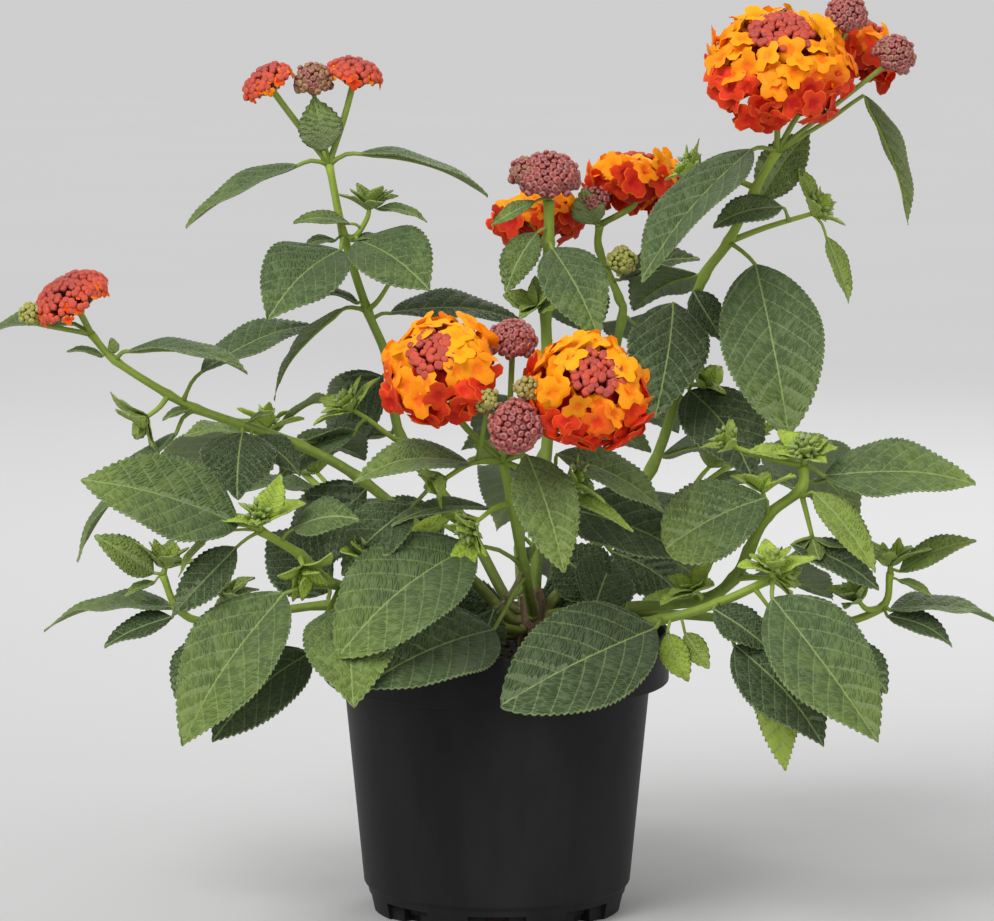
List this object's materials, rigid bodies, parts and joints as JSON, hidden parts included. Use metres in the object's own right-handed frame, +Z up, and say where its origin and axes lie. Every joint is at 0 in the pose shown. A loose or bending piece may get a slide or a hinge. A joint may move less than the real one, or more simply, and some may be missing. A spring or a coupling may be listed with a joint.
{
  "type": "potted lantana plant",
  "caption": "Bushy flowering lantana with toothed leaves and round flower heads, growing in a black plastic nursery pot.",
  "frame": {"origin": "centre of the pot's flat underside, on the surface that the pot stands on", "axes": "+Z up, -Y towards the front of the plant as pictured, +X to its right"},
  "size_m": [0.3508, 0.2305, 0.3119],
  "materials": {
    "pot": "matt black moulded plastic with a soft sheen",
    "soil": "dark damp potting mix",
    "bark": "thin brown bark",
    "stem": "green, faintly ridged and hairy",
    "leaf": "matt, rough, quilted between the veins",
    "petals": "soft, orange and scarlet",
    "buds": "soft, dusky pink"
  },
  "bodies": {
    "root": {"nursery_pot": "pot", "potting_soil": "soil", "woody_crown": "bark", "tall_left_stem": "stem", "left_stem": "stem", "low_left_stem": "stem", "far_left_stem": "stem", "centre_stem": "stem", "centre_right_stem": "stem", "front_stem": "stem", "upper_right_stem": "stem", "right_stem": "stem", "far_right_stem": "stem", "right_front_stem": "stem", "back_left_stem": "stem", "back_right_stem": "stem", "back_stem": "stem", "tall_left_top_left_leaf": "leaf", "tall_left_top_right_leaf": "leaf", "tall_left_middle_leaf": "leaf", "tall_left_low_leaf": "leaf", "left_top_leaf": "leaf", "left_outer_leaf": "leaf", "left_hanging_leaf": "leaf", "low_left_upper_leaf": "leaf", "low_left_front_leaf": "leaf", "low_left_hanging_leaf": "leaf", "front_left_leaf": "leaf", "front_long_leaf": "leaf", "front_centre_leaf": "leaf", "front_right_leaf": "leaf", "rim_leaf": "leaf", "right_front_leaf": "leaf", "centre_leaf": "leaf", "upper_right_inner_leaf": "leaf", "upper_right_long_leaf": "leaf", "upper_right_arched_leaf": "leaf", "upper_right_big_leaf": "leaf", "right_outer_leaf": "leaf", "right_round_leaf": "leaf", "far_right_leaf": "leaf", "far_left_leaf": "leaf", "back_left_low_leaf": "leaf", "back_left_inner_leaf": "leaf", "back_right_low_leaf": "leaf", "back_right_inner_leaf": "leaf", "back_leaf": "leaf", "tall_left_outer_flower_head": "petals", "tall_left_inner_flower_head": "petals", "left_flower_head": "petals", "front_left_flower_head": "petals", "front_right_flower_head": "petals", "front_upper_bud_head": "buds", "front_lower_bud_head": "buds", "centre_bud_head": "buds", "centre_back_flower_head": "petals", "centre_right_flower_head": "petals", "upper_right_main_flower_head": "petals", "upper_right_side_flower_head": "petals", "back_flower_head": "petals"}
  },
  "joints": []
}
